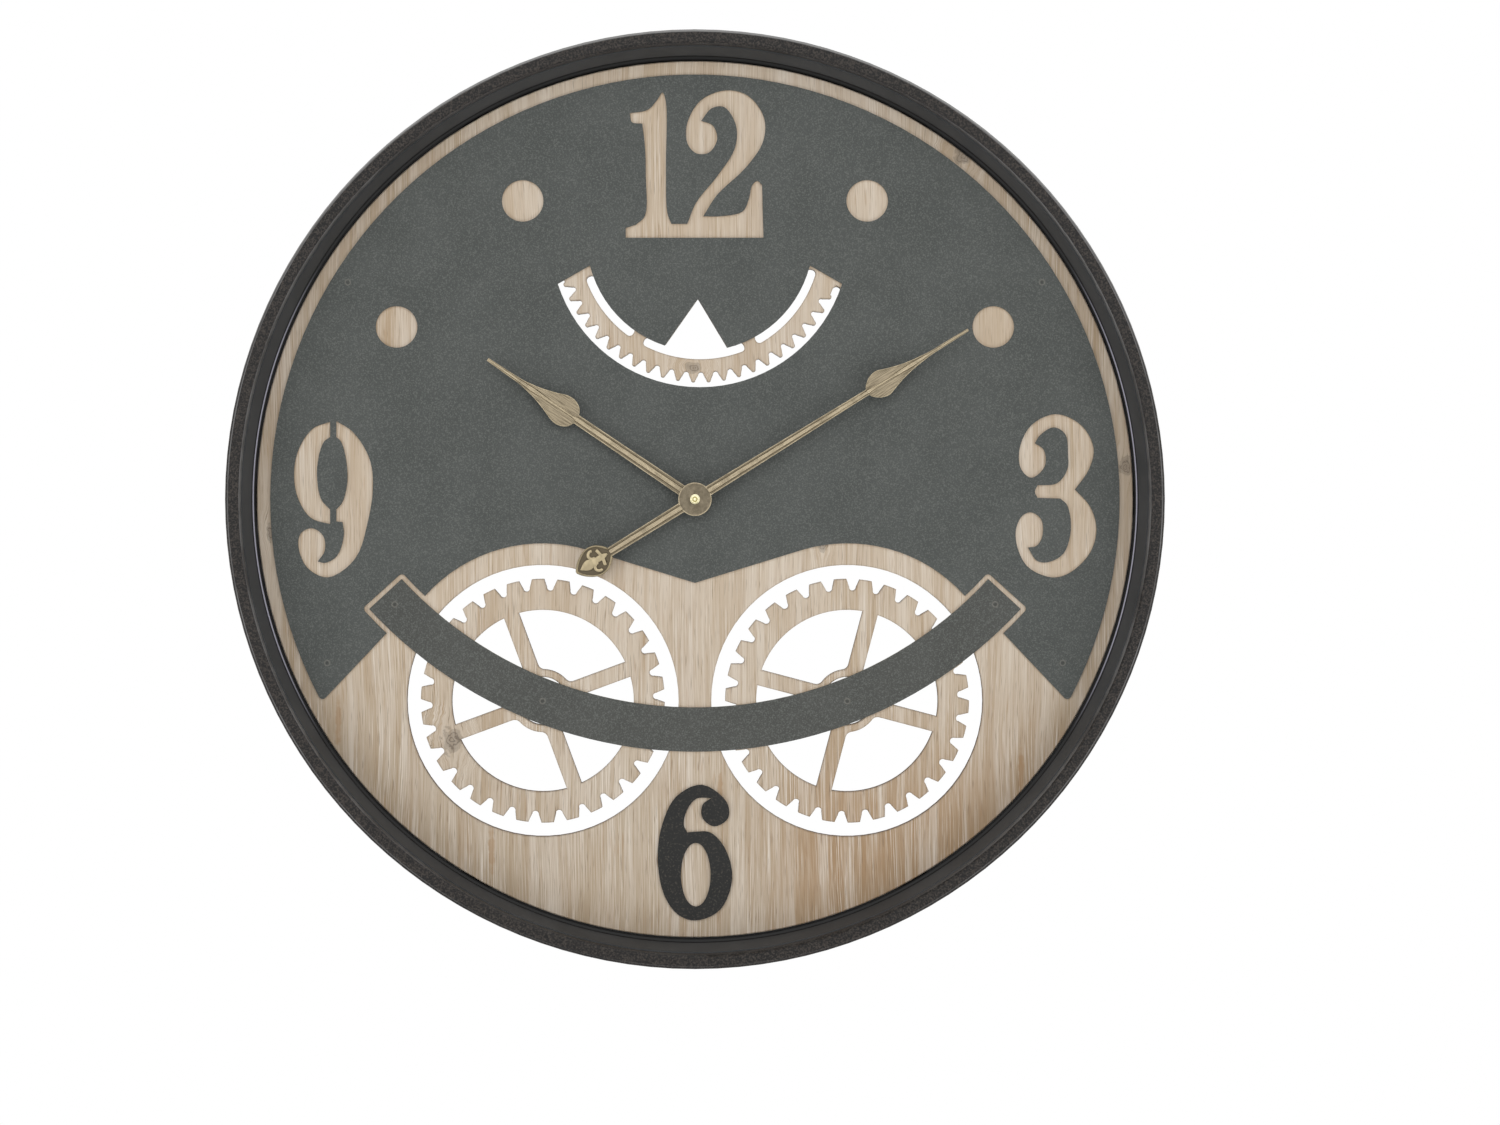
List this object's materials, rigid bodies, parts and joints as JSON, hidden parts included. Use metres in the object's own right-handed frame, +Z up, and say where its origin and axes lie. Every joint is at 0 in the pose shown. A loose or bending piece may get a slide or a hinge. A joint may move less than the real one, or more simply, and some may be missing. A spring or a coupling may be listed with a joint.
{
  "type": "wall clock",
  "caption": "Round wall clock: deep dark metal frame, pierced grey dial sheet on a whitewashed timber panel, toothed wooden wheels behind a curved bar, ridged brass spade hands.",
  "frame": {"origin": "centre of the clock's bounding box: on the axis of the hands, halfway between the wall plane and the frame's crown", "axes": "+Z up towards the twelve, +X to the viewer's right towards the three, +Y into the wall; the dial faces -Y"},
  "size_m": [0.67, 0.065, 0.67],
  "materials": {
    "frame_black": "hammered black paint on the crown, satin black inside",
    "dial_grey": "matt dark grey, finely speckled",
    "timber": "whitewashed softwood veneer, grain upright",
    "six_black": "matt black",
    "plated_steel": "zinc plated",
    "dark_steel": "satin black paint",
    "antique_brass": "antique, darkened, bright on the ridges",
    "bright_brass": "turned, bright",
    "black_plastic": "moulded, matt",
    "white_plastic": "moulded, natural",
    "rubber": "matt",
    "cell_jacket": null,
    "copper_wire": "enamelled copper winding",
    "board": "green board"
  },
  "bodies": {
    "clock_body": {"frame_ring": "frame_black", "panel_tabs": "dark_steel", "panel_screws": "plated_steel", "hanging_strap": "dark_steel", "timber_panel": "timber", "dial_sheet": "dial_grey", "dial_studs": "plated_steel", "curved_bar": "dial_grey", "bar_studs": "plated_steel", "stud_nuts": "plated_steel", "left_wheel": "timber", "right_wheel": "timber", "wheel_clamps": "dark_steel", "numeral_six": "six_black", "movement_case": "black_plastic", "movement_cover": "black_plastic", "rubber_washer": "rubber", "threaded_bush": "bright_brass", "brass_washer": "bright_brass", "bush_nut": "bright_brass", "battery": "cell_jacket", "battery_contacts": "plated_steel", "drive_unit": "white_plastic", "motor_coil": "copper_wire", "circuit_board": "board"},
    "minute_train": {"minute_arbor": "bright_brass", "centre_wheel": "bright_brass", "minute_hand": "antique_brass", "tail_leaf": "antique_brass", "hand_nut": "bright_brass"},
    "hour_train": {"hour_wheel": "white_plastic", "hour_hand": "antique_brass", "hour_collet": "bright_brass"},
    "setting_train": {"motion_wheel": "white_plastic", "setting_knob": "black_plastic"}
  },
  "joints": [
    {"name": "minute_turn", "type": "hinge", "parent": "clock_body", "child": "minute_train", "pos_m": [0, 0, 0], "axis": [0, 1, 0], "continuous": true},
    {"name": "hour_turn", "type": "hinge", "parent": "clock_body", "child": "hour_train", "pos_m": [0, 0, 0], "axis": [0, 1, 0], "continuous": true},
    {"name": "setting_turn", "type": "hinge", "parent": "clock_body", "child": "setting_train", "pos_m": [-0.012, 0, 0], "axis": [0, 1, 0], "continuous": true}
  ],
  "couplings": [
    {"joint": "hour_turn", "follows": "minute_turn", "ratio": 0.083333},
    {"joint": "setting_turn", "follows": "minute_turn", "ratio": -0.33333}
  ]
}
